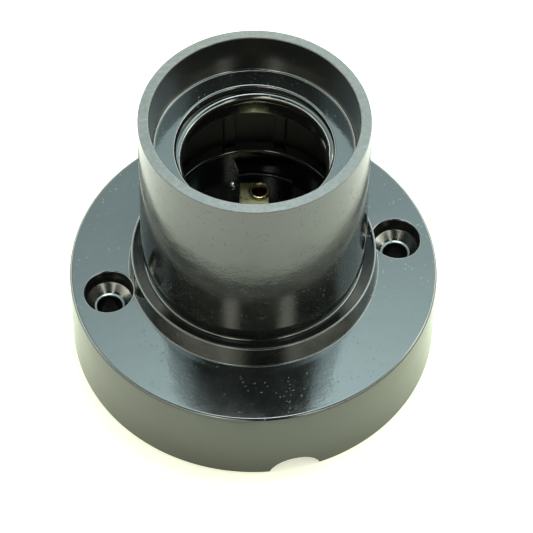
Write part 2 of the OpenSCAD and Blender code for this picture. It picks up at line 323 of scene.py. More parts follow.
# %% Base: the turned part
base_outline = rounded(
    [
        (base_r - skirt_wall, 0, 0.3),
        (base_r, 0, 0.25),
        (base_r - skirt_draft, flange_z, edge_round),
        (collar_foot_r, flange_z + flange_rise, collar_foot_round),
        (collar_lip_r, collar_z, 0.3),
        (shoulder_r, collar_z - collar_drop, 0.3),
        (shoulder_r, shoulder_z, 0.2),
        (neck_r, shoulder_z, 0.15),
        (neck_r, neck_top, 0.5),
        (neck_bore_r, neck_top, 0.5),
        (neck_bore_r, pocket_z, 0.6),
        (0, pocket_z),
        (0, under_z),
        (under_r, under_z, 0.4),
        (under_r, flange_z - flange_t, 0.4),
        (base_r - skirt_wall, flange_z - flange_t, 1.0),
    ]
)
base = turned("base_moulding", base_outline, segments=240)
print("outline points:", len(base_outline))

# %% [markdown]
# The contact floor stands 2.4 mm above the two pockets. It is a disc with two notches, rooted a little way into the
# neck's wall so that the join is a clean edge. The pockets run out to the wall, where the strips have their tails.

# %% Base: the raised contact floor, pillars and rib
root = 1.0
pocket_gap = 0.3
pocket_left = -leaf_w / 2 - pocket_gap
pocket_right = 6.8
back_pocket_y = -3.2
front_pocket_y = rivet_y - leaf_w / 2 - pocket_gap
pillar_r = 5.2
pad_r = 1.85
pad_top = pocket_z + 0.5
barrier_half = 0.8
barrier_end = under_r + 0.5


def pocket(inner_y, right, turn):
    """The air in a pocket of the contact floor, from inner_y out past the neck's bore."""
    return block("pocket", (pocket_left, inner_y, pocket_z - 2), (right, 20, floor_z + 2), turn)


def pillar(x):
    outline = rounded([(0, 0), (pillar_r, 0, 0.3), (pillar_r, flange_z - root), (0, flange_z - root)])
    return turned("pillar", outline, 64, (x, 0))


def pad(turn):
    """The low round seat under the riveted end of a strip."""
    outline = rounded([(0, pocket_z - root), (pad_r, pocket_z - root), (pad_r, pad_top, 0.1), (0, pad_top)])
    return turn_mesh(turned("pad", outline, 48, (rivet_x, rivet_y)), turn)


floor_r = neck_bore_r + root
floor = turned("floor", [(0, pocket_z - root), (floor_r, pocket_z - root), (floor_r, floor_z), (0, floor_z)], 96)
back_pocket = pocket(back_pocket_y, pocket_right, contact_turn)
front_pocket = pocket(front_pocket_y, -pocket_left, opposite_turn)
combine(floor, [back_pocket, front_pocket], "DIFFERENCE")
soften(floor, 0.18)

pillars = [pillar(-hole_x), pillar(hole_x)]
barrier_low = (-barrier_end, -barrier_half, under_z - 5)
barrier = block("barrier", barrier_low, (barrier_end, barrier_half, under_z + 0.5), contact_turn)
soften(barrier, 0.2)
pads = [pad(contact_turn), pad(opposite_turn)]
combine(base, [floor, *pillars, barrier, *pads], "UNION")
print("faces after joining:", len(base.data.polygons))

# %% [markdown]
# The fixing holes have a sunk mouth for the screw head and a rim that is slightly rounded, which shows as a bright
# ring. The cutter is the shape of the air in the hole: it flares at the top by the rounding of that rim. The flange
# slopes, so the flare is lifted point by point to follow it.

# %% Base: holes and the cable notch
rim_round = 0.3
seat_wide = 0.5
seat_rise = 0.09
hole_z = flange_z + flange_slope * (base_r - skirt_draft - hole_x)
cone_z = hole_z - sink_depth
notch_r = 4.8
notch_drop = 1.3


def fixing_hole(x):
    """The air in a fixing hole: shank, seat, cone, sunk mouth and the flare of its rounded rim."""
    flare = [
        (sink_r + rim_round * (1 - math.cos(a)), hole_z - rim_round * (1 - math.sin(a)))
        for a in [math.pi / 2 * k / 6 for k in range(7)]
    ]
    mouth = rounded([
        (0, 0), (hole_r, 0), (hole_r, cone_z, 0.2), (hole_r + seat_wide, cone_z + seat_rise, 0.15),
        (sink_r, hole_z - sink_straight, 0.6), (sink_r, hole_z),
    ])
    outline = [(0, -1), (hole_r, -1)]
    outline += [tuple(p) for p in mouth][2:-1]
    outline += flare + [(sink_r + 0.2, collar_z + 1), (0, collar_z + 1)]
    hole = turned("hole", outline, 96, (x, 0))
    for v in hole.data.vertices:
        if v.co.z > (hole_z - rim_round - 0.1) * MM:
            v.co.z += flange_slope * (hole_x * MM - math.hypot(v.co.x, v.co.y))
    return hole


def floor_hole(x, y, r, z0, z1, turn):
    return turn_mesh(turned("hole", [(0, z0), (r, z0), (r, z1), (0, z1)], 48, (x, y)), turn)


cuts = [fixing_hole(-hole_x), fixing_hole(hole_x)]
for turn in (contact_turn, opposite_turn):
    cuts.append(floor_hole(rivet_x, rivet_y, rivet_r + 0.05, under_z - 1, floor_z, turn))
    cuts.append(floor_hole(pin_x, pin_y, pin_r + 0.05, under_z - 1, floor_z + 1, turn))
    cuts.append(floor_hole(screw_x, screw_y, screw_r + 0.3, under_z - 1, under_z + 3.5, turn))
notch = turned("notch", [(0, 0), (notch_r, 0), (notch_r, 6), (0, 6)], 96)
notch_place = Matrix.Translation(Vector((0, -base_r + 5, -notch_drop)) * MM)
notch.data.transform(notch_place @ Matrix.Rotation(math.pi / 2, 4, "X"))
cuts.append(notch)
combine(base, cuts, "DIFFERENCE")
true_normals(base)
print("faces after cutting:", len(base.data.polygons))

# %% [markdown]
# ## The shell
#
# The shell is a slightly tapered tube. Its rim was ground after moulding, which leaves it dull and pale. Below the rim
# a well leads down to a ledge with the lamp opening, and a ring under the ledge carries the lamp's thread.

# %% Shell: the turned part
shell_outline = rounded(
    [
        (shell_bore_r, shoulder_z, 0.2),
        (shell_foot_r, shoulder_z, 0.25),
        (shell_rim_r, rim_z - rim_slope, 0.22),
        (shell_rim_r - rim_wall, rim_z, 0.2),
        (well_foot_r, ledge_z, 0.5),
        (opening_r, ledge_z, 0.45),
        (groove_r, ledge_z - 0.8, 0.3),
        (groove_r, ring_z, 0.35),
        (ring_r, ring_z, 0.3),
        (ring_r, ledge_z - ledge_t, 0.4),
        (shell_bore_r, ledge_z - ledge_t, 0.4),
    ]
)
shell = turned("shell_moulding", shell_outline, segments=240)
true_normals(shell)
print("faces:", len(shell.data.polygons))

# %% [markdown]
# ## Repeats made by Geometry Nodes
#
# Twelve ribs stiffen the inside of the shell. A small node tree sets one rib and turns copies of it round the axis, so
# the count and the sizes are inputs that can be changed later. The same idea makes the two threads: a spiral curve
# with a rounded section swept along it.

# %% Helpers for node trees
def new_tree(name, inputs):
    """A geometry node tree with one geometry output and the named inputs (name, socket type, value)."""
    tree = bpy.data.node_groups.new(name, "GeometryNodeTree")
    tree.interface.new_socket("Geometry", in_out="OUTPUT", socket_type="NodeSocketGeometry")
    for label, kind, value in inputs:
        socket = tree.interface.new_socket(label, in_out="INPUT", socket_type=kind)
        if value is not None:
            socket.default_value = value
    return tree


def add(tree, kind, **settings):
    node = tree.nodes.new(kind)
    for key, value in settings.items():
        setattr(node, key, value)
    return node


def wire(tree, source, target):
    tree.links.new(source, target)


def grow(name, tree, values):
    """Run a node tree on an empty mesh with the given inputs, and keep the plain result."""
    obj = new_object(name, bpy.data.meshes.new(name))
    modifier = obj.modifiers.new("shape", "NODES")
    modifier.node_group = tree
    for item in tree.interface.items_tree:
        if item.in_out == "INPUT" and item.name in values:
            modifier[item.identifier] = values[item.name]
    return settle(obj)


def feed(tree, value, socket):
    """Give a socket a plain number, or wire another socket to it."""
    if isinstance(value, (int, float)):
        socket.default_value = value
    else:
        wire(tree, value, socket)


def scalar(tree, operation, *values):
    """A maths node on sockets or numbers."""
    node = add(tree, "ShaderNodeMath", operation=operation)
    for value, socket in zip(values, node.inputs):
        feed(tree, value, socket)
    return node.outputs[0]


def plus(tree, a, b):
    return scalar(tree, "ADD", a, b)


def minus(tree, a, b):
    return scalar(tree, "SUBTRACT", a, b)


def times(tree, a, *others):
    """The product of two or more sockets or numbers."""
    for other in others:
        a = scalar(tree, "MULTIPLY", a, other)
    return a


# %% Tree: blocks set round an axis
def vector_of(tree, **parts):
    """A vector whose X, Y and Z are sockets or numbers."""
    node = add(tree, "ShaderNodeCombineXYZ")
    for axis, value in parts.items():
        feed(tree, value, node.inputs[axis])
    return node.outputs[0]


def placed(tree, geometry, **moves):
    """Geometry after a Translation, Rotation or Scale."""
    node = add(tree, "GeometryNodeTransform")
    wire(tree, geometry, node.inputs["Geometry"])
    for label, vector in moves.items():
        wire(tree, vector, node.inputs[label])
    return node.outputs[0]


def rib_tree():
    tree = new_tree("ribs round an axis", [
        ("Count", "NodeSocketInt", 12),
        ("Radius", "NodeSocketFloat", 0.0175),
        ("Depth", "NodeSocketFloat", 0.001),
        ("Width", "NodeSocketFloat", 0.002),
        ("Foot", "NodeSocketFloat", 0.032),
        ("Head", "NodeSocketFloat", 0.045),
        ("Turn", "NodeSocketFloat", 0.0),
        ("Material", "NodeSocketMaterial", None),
    ])
    given = add(tree, "NodeGroupInput").outputs
    height = minus(tree, given["Head"], given["Foot"])
    cube = add(tree, "GeometryNodeMeshCube")
    wire(tree, vector_of(tree, X=given["Depth"], Y=given["Width"], Z=height), cube.inputs["Size"])
    middle = times(tree, plus(tree, given["Head"], given["Foot"]), 0.5)
    rib = placed(tree, cube.outputs["Mesh"], Translation=vector_of(tree, X=given["Radius"], Z=middle))
    points = add(tree, "GeometryNodePoints")
    wire(tree, given["Count"], points.inputs["Count"])
    step = scalar(tree, "DIVIDE", 2 * math.pi, given["Count"])
    place = plus(tree, add(tree, "GeometryNodeInputIndex").outputs[0], 0.5)
    angle = plus(tree, times(tree, place, step), given["Turn"])
    copies = add(tree, "GeometryNodeInstanceOnPoints")
    wire(tree, points.outputs[0], copies.inputs["Points"])
    wire(tree, rib, copies.inputs["Instance"])
    wire(tree, vector_of(tree, Z=angle), copies.inputs["Rotation"])
    finish_tree(tree, copies.outputs[0], given["Material"])
    return tree


def finish_tree(tree, geometry, material):
    """Every tree ends the same way: real geometry, then the material."""
    real = add(tree, "GeometryNodeRealizeInstances")
    wire(tree, geometry, real.inputs[0])
    painted = add(tree, "GeometryNodeSetMaterial")
    wire(tree, real.outputs[0], painted.inputs["Geometry"])
    wire(tree, material, painted.inputs["Material"])
    wire(tree, painted.outputs[0], add(tree, "NodeGroupOutput").inputs[0])


# %% Tree: a rounded crest along a helix
def thread_tree():
    tree = new_tree("thread crest", [
        ("Radius", "NodeSocketFloat", 0.0133),
        ("Crest", "NodeSocketFloat", 0.001),
        ("Half width", "NodeSocketFloat", 0.001),
        ("Pitch", "NodeSocketFloat", 0.0036),
        ("Turns", "NodeSocketFloat", 1.2),
        ("Foot", "NodeSocketFloat", 0.045),
        ("Turn", "NodeSocketFloat", 0.0),
        ("Material", "NodeSocketMaterial", None),
    ])
    given = add(tree, "NodeGroupInput").outputs
    spiral = add(tree, "GeometryNodeCurveSpiral")
    spiral.inputs["Resolution"].default_value = 96
    wire(tree, given["Turns"], spiral.inputs["Rotations"])
    wire(tree, given["Radius"], spiral.inputs["Start Radius"])
    wire(tree, given["Radius"], spiral.inputs["End Radius"])
    wire(tree, times(tree, given["Turns"], given["Pitch"]), spiral.inputs["Height"])
    along = add(tree, "GeometryNodeSplineParameter").outputs["Factor"]
    taper = add(tree, "ShaderNodeMapRange", interpolation_type="SMOOTHSTEP")
    wire(tree, scalar(tree, "MINIMUM", along, minus(tree, 1.0, along)), taper.inputs["Value"])
    taper.inputs["From Max"].default_value = 0.035
    taper.inputs["To Min"].default_value = 0.25
    sized = add(tree, "GeometryNodeSetCurveRadius")
    wire(tree, spiral.outputs[0], sized.inputs["Curve"])
    wire(tree, taper.outputs[0], sized.inputs["Radius"])
    circle = add(tree, "GeometryNodeCurvePrimitiveCircle")
    circle.inputs["Resolution"].default_value = 20
    circle.inputs["Radius"].default_value = 1.0
    oval = placed(tree, circle.outputs[0], Scale=vector_of(tree, X=given["Crest"], Y=given["Half width"], Z=1.0))
    upright = add(tree, "GeometryNodeSetCurveNormal")
    upright.mode = "Z_UP"
    wire(tree, sized.outputs[0], upright.inputs["Curve"])
    swept = add(tree, "GeometryNodeCurveToMesh")
    wire(tree, upright.outputs[0], swept.inputs["Curve"])
    wire(tree, oval, swept.inputs["Profile Curve"])
    swept.inputs["Fill Caps"].default_value = True
    if "Scale" in swept.inputs:
        wire(tree, add(tree, "GeometryNodeInputRadius").outputs[0], swept.inputs["Scale"])
    lift = vector_of(tree, Z=given["Foot"])
    moved = placed(tree, swept.outputs[0], Translation=lift, Rotation=vector_of(tree, Z=given["Turn"]))
    shaded = add(tree, "GeometryNodeSetShadeSmooth")
    wire(tree, moved, shaded.inputs["Geometry"])
    finish_tree(tree, shaded.outputs[0], given["Material"])
    return tree


# %% [markdown]
# ## Finishes
#
# The mouldings are nearly black and very glossy, and at this size the gloss is never perfect: the surface has a faint
# orange peel, small pits and a little dust. One shader group gives those three as values, and each material uses it in
# its own measure. The reflection itself stays in the material's own shader. Its index of refraction is 1.8, a little
# more than the real 1.6, because the photo's reflections are brighter than a plain room's.

# %% Shader helpers
def shader_group(name, inputs, outputs):
    tree = bpy.data.node_groups.new(name, "ShaderNodeTree")
    for label, kind, value in inputs:
        tree.interface.new_socket(label, in_out="INPUT", socket_type=kind).default_value = value
    for label, kind in outputs:
        tree.interface.new_socket(label, in_out="OUTPUT", socket_type=kind)
    return tree


def noise(tree, vector, scale, detail=2.0, roughness=0.5):
    node = add(tree, "ShaderNodeTexNoise")
    wire(tree, vector, node.inputs["Vector"])
    feed(tree, scale, node.inputs["Scale"])
    node.inputs["Detail"].default_value = detail
    node.inputs["Roughness"].default_value = roughness
    return node.outputs["Fac"]


def ramp(tree, value, low, high, out_low=0.0, out_high=1.0, steps="SMOOTHSTEP"):
    node = add(tree, "ShaderNodeMapRange", interpolation_type=steps)
    wire(tree, value, node.inputs["Value"])
    for label, number in zip(("From Min", "From Max", "To Min", "To Max"), (low, high, out_low, out_high)):
        node.inputs[label].default_value = number
    return node.outputs[0]


def fade(tree, value, start, end):
    """0 at the length start and 1 at the length end, both in millimetres, whichever is larger."""
    if start > end:
        return ramp(tree, value, end * MM, start * MM, 1.0, 0.0)
    return ramp(tree, value, start * MM, end * MM)


def axes_of(tree, vector):
    """The X, Y and Z of a vector."""
    node = add(tree, "ShaderNodeSeparateXYZ")
    wire(tree, vector, node.inputs[0])
    return node.outputs


def flat_length(tree, x, y):
    """How long the arrow (x, y) is."""
    return scalar(tree, "SQRT", plus(tree, times(tree, x, x), times(tree, y, y)))


def stretched(tree, vector, scale):
    node = add(tree, "ShaderNodeMapping")
    wire(tree, vector, node.inputs["Vector"])
    node.inputs["Scale"].default_value = scale
    return node.outputs[0]


def blend_colours(tree, factor, a, b):
    node = add(tree, "ShaderNodeMix", data_type="RGBA")
    wire(tree, factor, node.inputs[0])
    for socket, value in ((node.inputs[6], a), (node.inputs[7], b)):
        if isinstance(value, tuple):
            socket.default_value = (*value, 1.0)
        else:
            wire(tree, value, socket)
    return node.outputs[2]


def moulded_surface():
    """Pits, orange peel and dust of a gloss moulding, from object coordinates in metres."""
    tree = shader_group(
        "moulded surface",
        [
            ("Vector", "NodeSocketVector", (0, 0, 0)),
            ("Pit scale", "NodeSocketFloat", 1300.0),
            ("Peel scale", "NodeSocketFloat", 260.0),
        ],
        [("Pits", "NodeSocketFloat"), ("Peel", "NodeSocketFloat"), ("Dust", "NodeSocketFloat")],
    )
    given = add(tree, "NodeGroupInput").outputs
    out = add(tree, "NodeGroupOutput").inputs
    cells = add(tree, "ShaderNodeTexVoronoi")
    wire(tree, given["Vector"], cells.inputs["Vector"])
    wire(tree, given["Pit scale"], cells.inputs["Scale"])
    where = noise(tree, given["Vector"], 420.0, 1.0)
    gate = ramp(tree, where, 0.5, 0.6)
    pit = ramp(tree, cells.outputs["Distance"], 0.06, 0.2, 1.0, 0.0)
    wire(tree, times(tree, pit, gate), out["Pits"])
    wire(tree, noise(tree, given["Vector"], given["Peel scale"], 1.0), out["Peel"])
    specks = noise(tree, given["Vector"], 2600.0, 3.0, 0.7)
    wire(tree, ramp(tree, specks, 0.63, 0.71), out["Dust"])
    return tree


surface_group = moulded_surface()


def new_material(name):
    material = bpy.data.materials.new(name)
    material.use_nodes = True
    tree = material.node_tree
    shader = tree.nodes["Principled BSDF"]
    coordinates = add(tree, "ShaderNodeTexCoord").outputs["Object"]
    return material, tree, shader, coordinates


def bump(tree, shader, height, distance, strength):
    """Let the height shade the shader's surface; the distance is in metres."""
    node = add(tree, "ShaderNodeBump")
    node.inputs["Distance"].default_value = distance
    node.inputs["Strength"].default_value = strength
    wire(tree, height, node.inputs["Height"])
    wire(tree, node.outputs[0], shader.inputs["Normal"])


def paint(obj, material):
    """Leave an object with this one material."""
    obj.data.materials.clear()
    obj.data.materials.append(material)


# %% [markdown]
# Three places are duller than the rest, because the mould was worn or less polished there: the sunk mouths of the
# fixing holes, the inside of the shell below the ledge, and the wall of the well. The rim was ground after moulding,
# which left it pale and scratched. Each place is a mask worked out from the sizes.

# %% Where the mouldings are dull
def sink_mask(tree, where):
    """1 on the walls and cones of the two fixing holes, above the bright seat."""
    axes = axes_of(tree, where)
    aside = minus(tree, scalar(tree, "ABSOLUTE", axes["X"]), hole_x * MM)
    inside = fade(tree, flat_length(tree, aside, axes["Y"]), sink_r + 0.15, sink_r + 0.05)
    seat_z = cone_z + seat_rise
    return times(tree, inside, fade(tree, axes["Z"], seat_z + 0.1, seat_z + 0.3))


def bore_and_well_masks(tree, axes):
    """1 on the shell's bore below the ledge, past the ring, and 1 on the wall of the well."""
    from_axis = flat_length(tree, axes["X"], axes["Y"])
    inside = fade(tree, from_axis, shell_bore_r + 0.2, shell_bore_r + 0.1)
    past_ring = fade(tree, from_axis, ring_r + 0.2, ring_r + 0.4)
    bore = times(tree, inside, past_ring, fade(tree, axes["Z"], ledge_z - 0.9, ledge_z - 1.2))
    well = times(tree, inside, fade(tree, axes["Z"], ledge_z + 0.3, ledge_z + 0.8))
    return bore, well


def ground_rim(tree, where, axes):
    """The mask of the ground rim, its colour and its scratches."""
    rim_low = rim_z - rim_slope
    rim = fade(tree, axes["Z"], rim_low - 0.16, rim_low - 0.06)
    grit = ramp(tree, noise(tree, where, 1500.0, 3.0, 0.65), 0.35, 0.7)
    lines = noise(tree, stretched(tree, where, (90.0, 900.0, 1.0)), 1.0, 4.0, 0.7)
    dull = blend_colours(tree, grit, (0.030, 0.029, 0.027), (0.066, 0.063, 0.058))
    dull = blend_colours(tree, ramp(tree, lines, 0.55, 0.75), dull, (0.11, 0.106, 0.098))
    return rim, dull, lines


def rougher(tree, rough, mask, least):
    """The roughness, at least so much where the mask is 1."""
    return scalar(tree, "MAXIMUM", rough, times(tree, mask, least))


# %% Gloss black moulding
moulding_ior = 1.8


def black_moulding(name, for_shell):
    """Gloss black thermoset, with the dull places of the shell or of the base."""
    material, tree, shader, where = new_material(name)
    surface = add(tree, "ShaderNodeGroup", node_tree=surface_group)
    wire(tree, where, surface.inputs["Vector"])
    tint = ramp(tree, noise(tree, where, 60.0, 3.0), 0.35, 0.65)
    colour = blend_colours(tree, tint, (0.0035, 0.0038, 0.0037), (0.0062, 0.0067, 0.0064))
    colour = blend_colours(tree, times(tree, surface.outputs["Dust"], 0.4), colour, (0.10, 0.105, 0.10))
    rough = ramp(tree, noise(tree, where, 150.0, 2.0), 0.3, 0.7, 0.09, 0.16)
    height = minus(tree, times(tree, surface.outputs["Peel"], 0.6), surface.outputs["Pits"])
    height = plus(tree, height, times(tree, noise(tree, where, 1800.0, 2.0), 0.2))
    if for_shell:
        axes = axes_of(tree, where)
        bore, well = bore_and_well_masks(tree, axes)
        rough = rougher(tree, rough, bore, 0.6)
        rough = rougher(tree, rough, well, 0.26)
        rim, dull, lines = ground_rim(tree, where, axes)
        colour = blend_colours(tree, rim, colour, dull)
        rough = rougher(tree, rough, rim, 0.38)
        height = plus(tree, height, times(tree, lines, rim, 0.6))
    else:
        rough = rougher(tree, rough, sink_mask(tree, where), 0.22)
    shader.inputs["IOR"].default_value = moulding_ior
    wire(tree, colour, shader.inputs["Base Color"])
    wire(tree, rough, shader.inputs["Roughness"])
    bump(tree, shader, height, 0.00004, 1.0)
    return material


base_black = black_moulding("base_black", for_shell=False)
shell_black = black_moulding("shell_black", for_shell=True)
print("index of refraction of the mouldings:", moulding_ior)

# %% Brass and steel
EVEN_GRAIN = (300.0, 300.0, 300.0)
ROLLED_GRAIN = (200.0, 1500.0, 200.0)
BROWN = (0.1, 0.07, 0.03)


def metal(name, dark, light, roughness, grain=EVEN_GRAIN, tarnish=BROWN, amount=0.3, painted_shade_below=None):
    """A metal with a grain and patchy tarnish; below the given height, in millimetres, it is dark red-brown: a painted
    shade, as in a bore.
    """
    material, tree, shader, where = new_material(name)
    lines = noise(tree, stretched(tree, where, grain), 4.0, 4.0, 0.6)
    patches = noise(tree, where, 500.0, 3.0, 0.6)
    colour = blend_colours(tree, ramp(tree, lines, 0.3, 0.7), dark, light)
    stain = times(tree, ramp(tree, patches, 0.45, 0.75), amount)
    colour = blend_colours(tree, stain, colour, tarnish)
    if painted_shade_below is not None:
        # Below that height the brass turns dark red-brown: painted shade in the rivet's bore.
        painted_bore_shade = fade(tree, axes_of(tree, where)["Z"], painted_shade_below, painted_shade_below - 0.3)
        colour = blend_colours(tree, painted_bore_shade, colour, (0.16, 0.06, 0.03))
    wire(tree, colour, shader.inputs["Base Color"])
    shader.inputs["Metallic"].default_value = 1.0
    wire(tree, ramp(tree, patches, 0.3, 0.8, roughness * 0.8, roughness * 1.6), shader.inputs["Roughness"])
    bump(tree, shader, lines, 0.00001, 0.6)
    return material


bore_top = leaf_low + leaf_t + 0.15
strip_brass = metal("strip_brass", (0.78, 0.68, 0.35), (0.93, 0.84, 0.50), 0.32, ROLLED_GRAIN)
# The side contact's brass is far darker than the centre strip's: painted shade, besides its heavier tarnish.
side_brass_painted_shade = metal("side_brass_painted_shade", (0.30, 0.25, 0.13), (0.44, 0.37, 0.20), 0.45, ROLLED_GRAIN, amount=0.6)
rivet_brass = metal("rivet_brass", (0.78, 0.62, 0.28), (0.92, 0.78, 0.44), 0.2, painted_shade_below=bore_top)
plate_brass = metal("plate_brass", (0.46, 0.36, 0.15), (0.62, 0.50, 0.24), 0.32)
plated_steel = metal("plated_steel", (0.75, 0.76, 0.77), (0.92, 0.93, 0.94), 0.25, EVEN_GRAIN, (0.3, 0.28, 0.24), 0.2)
# The pins' steel is lighter than the other plated steel, so that the domes deep in the dim well look lit: painted
# light.
dowel_steel_painted_light = metal("dowel_steel_painted_light", (0.86, 0.87, 0.88), (0.97, 0.97, 0.97), 0.3, EVEN_GRAIN, (0.5, 0.48, 0.44), 0.2)
print("materials:", len(bpy.data.materials))

# %% [markdown]
# Now the trees run. The ribs reach a little way into the wall, and the crests of the lamp thread are rooted in the
# ring, so neither leaves a gap.

# %% Ribs and threads
ribs = grow("shell_ribs", rib_tree(), {
    "Count": 12, "Radius": (shell_bore_r - 0.1) * MM, "Depth": 1.2 * MM, "Width": 2.1 * MM,
    "Foot": (neck_top + 1) * MM, "Head": (ledge_z - ledge_t + 0.5) * MM,
    "Turn": contact_turn, "Material": shell_black,
})
soften(ribs, 0.2, 3)
true_normals(ribs)
crest_tree = thread_tree()
lamp_pitch = 3.629
lamp_turns = 1.15
lamp_thread = grow("lamp_thread", crest_tree, {
    "Radius": groove_r * MM, "Crest": 1.05 * MM, "Half width": 1.09 * MM, "Pitch": lamp_pitch * MM,
    "Turns": lamp_turns, "Foot": (ring_z + ledge_z - lamp_turns * lamp_pitch) / 2 * MM,
    "Turn": math.radians(25), "Material": shell_black,
})
neck_thread = grow("neck_thread", crest_tree, {
    "Radius": neck_r * MM, "Crest": 0.22 * MM, "Half width": 0.7 * MM, "Pitch": 2.4 * MM, "Turns": 1.6,
    "Foot": (shoulder_z + 1.3) * MM, "Turn": 0.0, "Material": base_black,
})
print("thread faces:", len(lamp_thread.data.polygons), len(neck_thread.data.polygons))

# %% [markdown]
# ## The brass strips
#
# Each contact is one stamped strip, half a millimetre thick, bent to shape. A strip is easiest to make flat: a grid
# whose length follows a path of bends and whose width can change along the way. The thickness and the rounded edges
# come last, so they are even everywhere.

# %% Helper: a bent strip
def bent_path(corners, steps=8):
    """Points along an open path whose inner corners (y, z, radius) are rounded."""
    points = [Vector(corners[0][:2])]
    for before, here, after in zip(corners, corners[1:], corners[2:]):
        a, p, b = (Vector(c[:2]) for c in (before, here, after))
        u, v = (a - p).normalized(), (b - p).normalized()
        reach = here[2] * math.tan((math.pi - u.angle(v)) / 2)
        for k in range(steps + 1):
            t = k / steps
            points.append((p + u * reach) * (1 - t) ** 2 + p * (2 * t * (1 - t)) + (p + v * reach) * t**2)
    points.append(Vector(corners[-1][:2]))
    return points


def fine_path(points, step=0.2):
    """The same path with a point about every step millimetres."""
    fine = [points[0]]
    for a, b in zip(points, points[1:]):
        parts = max(1, round((b - a).length / step))
        fine += [a.lerp(b, k / parts) for k in range(1, parts + 1)]
    return fine


def strip(name, path, sides, columns=14, dent=None):
    """A strip along path [(y, z)]; sides(s, length) gives its left and right edge at the distance s."""
    travelled = [0.0]
    for a, b in zip(path, path[1:]):
        travelled.append(travelled[-1] + (b - a).length)
    points, faces = [], []
    for (y, z), s in zip(path, travelled):
        left, right = sides(s, travelled[-1])
        for k in range(columns + 1):
            x = left + (right - left) * k / columns
            lift = dent(x, y) if dent else 0.0
            points.append((x * MM, y * MM, (z + lift) * MM))
    for i in range(len(path) - 1):
        for k in range(columns):
            c = i * (columns + 1) + k
            faces.append((c, c + 1, c + columns + 2, c + columns + 1))
    mesh = bpy.data.meshes.new(name)
    mesh.from_pydata(points, [], faces)
    obj = new_object(name, mesh)
    thick = obj.modifiers.new("thickness", "SOLIDIFY")
    thick.thickness = leaf_t * MM
    # The grid looks up where its path runs away from the axis, and down where it runs towards it
    thick.offset = 1.0 if path[-1][0] > path[0][0] else -1.0
    settle(obj)
    face_outwards(obj.data)
    return obj


# %% Centre contact
crown_h = 2.4
tail_y = rivet_y + 2.1
corner_r = 1.9
centre_path = fine_path(bent_path([
    (tail_y, leaf_low), (rivet_y - 3.4, leaf_low, 2.0), (1.6, leaf_low + crown_h - 0.3, 2.5),
    (0, leaf_low + crown_h, 1.2), (-1.2, leaf_low + crown_h - 0.25, 1.0), (-2.2, leaf_low + crown_h - 0.9),
]))


def centre_sides(s, length):
    """Rounded at the back right round the rivet, and narrower over the axis."""
    left, right = -leaf_w / 2, leaf_w / 2
    if s < corner_r:
        right -= corner_r - math.sqrt(corner_r**2 - (corner_r - s) ** 2)
    slim = min(1.0, max(0.0, (s - 5.2) / 1.4))
    slim = 0.6 * slim * slim * (3 - 2 * slim)
    end = max(0.0, s - (length - 1.2))
    round_end = 1.2 - math.sqrt(max(0.0, 1.44 - end * end))
    return left + slim + round_end, right - slim - round_end


def crown_dent(x, y):
    return 0.35 * math.exp(-(x * x + y * y) / 1.1)


centre_contact = strip("centre_strip", centre_path, centre_sides, dent=crown_dent)
print("centre strip length:", round(sum((b - a).length for a, b in zip(centre_path, centre_path[1:])), 1), "mm")

# %% Side contact
side_reach = 12.75
side_foot = side_reach + 0.5
side_path = fine_path(bent_path([
    (rivet_y - 2.4, leaf_low), (side_foot + 0.2, leaf_low, 1.0), (side_foot, leaf_low + 8.0, 3.0),
    (side_reach - 0.1, leaf_low + 11.6, 1.2), (side_reach + 0.75, leaf_low + 14.4),
]))


def side_sides(s, length):
    end = max(0.0, s - (length - 1.0))
    round_end = 1.0 - math.sqrt(max(0.0, 1.0 - end * end))
    return -leaf_w / 2 + round_end, leaf_w / 2 - round_end


side_contact = strip("side_strip", side_path, side_sides)

# %% Holes in the strips, edges and place
punch_r = rivet_r + 0.1
punch = [(0, pocket_z - 2), (punch_r, pocket_z - 2), (punch_r, floor_z + 2), (0, floor_z + 2)]
for leaf, turn, finish in ((centre_contact, contact_turn, strip_brass), (side_contact, opposite_turn, side_brass_painted_shade)):
    combine(leaf, [turned("hole", punch, 48, (rivet_x, rivet_y))], "DIFFERENCE")
    soften(leaf, 0.13, 3, 50)
    true_normals(leaf, 40)
    turn_mesh(leaf, turn)
    paint(leaf, finish)

# %% [markdown]
# ## Rivets, pins, terminals and screws
#
# The rivets are tubes whose upper end was rolled outwards over the strip. Their outline is turned like the mouldings.
# The pins end in a dome, and under the floor each terminal has a plate, a clamp washer and a slotted screw.

# %% Tubular rivets
head_z = leaf_low + leaf_t + 0.2
lip_middle = rivet_r + 0.25
lip_r = 0.32
flange_r = 2.1


def rivet(name, turn):
    """A tube with a rolled lip on top and a pressed flange below."""
    lip = [
        (lip_middle - lip_r * math.cos(a), head_z + 0.2 + lip_r * math.sin(a) * 0.95)
        for a in [math.pi * k / 10 for k in range(11)]
    ]
    outline = [(rivet_bore_r, plate_low - 0.5)]
    outline += [(rivet_bore_r, head_z - 0.4), (rivet_bore_r + 0.1, head_z)] + lip
    outline += [(lip_middle + lip_r, head_z + 0.02), (rivet_r, head_z), (rivet_r, plate_low)]
    outline += [(flange_r, plate_low), (flange_r, plate_low - 0.35), (flange_r - 0.15, plate_low - 0.5)]
    made = turned(name, outline, 64, (rivet_x, rivet_y))
    true_normals(made, 50)
    turn_mesh(made, turn)
    paint(made, rivet_brass)
    return made


centre_rivet = rivet("centre_eyelet", contact_turn)
side_rivet = rivet("side_eyelet", opposite_turn)


# %% Locating pins
def pin(name, turn):
    dome = [(pin_r * math.cos(a), floor_z + pin_r * math.sin(a)) for a in [math.pi / 2 * k / 8 for k in range(8)]]
    outline = [(0, plate_low), (pin_r - 0.1, plate_low), (pin_r, plate_low + 0.1)] + dome + [(0, floor_z + pin_r)]
    made = turned(name, outline, 48, (pin_x, pin_y))
    true_normals(made, 50)
    turn_mesh(made, turn)
    paint(made, dowel_steel_painted_light)
    return made


line_pin = pin("line_dowel", contact_turn)
neutral_pin = pin("neutral_dowel", opposite_turn)

